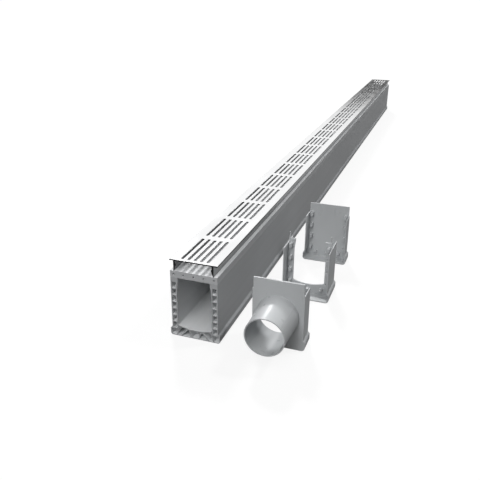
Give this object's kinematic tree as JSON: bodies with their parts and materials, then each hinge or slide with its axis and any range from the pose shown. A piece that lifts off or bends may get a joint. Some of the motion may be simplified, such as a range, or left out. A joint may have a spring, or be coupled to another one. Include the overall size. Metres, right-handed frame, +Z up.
{
  "type": "channel drain",
  "caption": "Long twin-wall channel drain with a construction former, a slotted alloy grate, and an end outlet, a joiner and an end cap standing beside it.",
  "frame": {"origin": "centre of the channel's underside", "axes": "+Z up, +Y along the channel away from the outlet's end, +X towards the loose fittings"},
  "size_m": [0.3057, 3.0587, 0.1896],
  "materials": {
    "channel_plastic": "smooth extruded grey plastic with a soft gloss",
    "former_plastic": "smooth extruded grey plastic with a soft gloss",
    "grate_alloy": "mill-finished extruded alloy, drawn lengthwise",
    "fitting_plastic": "smooth moulded grey plastic with a soft gloss"
  },
  "bodies": {
    "root": {"channel_base": "channel_plastic", "construction_former": "former_plastic", "grate": "grate_alloy", "end_outlet": "fitting_plastic", "joiner": "fitting_plastic", "end_cap": "fitting_plastic"}
  },
  "joints": []
}
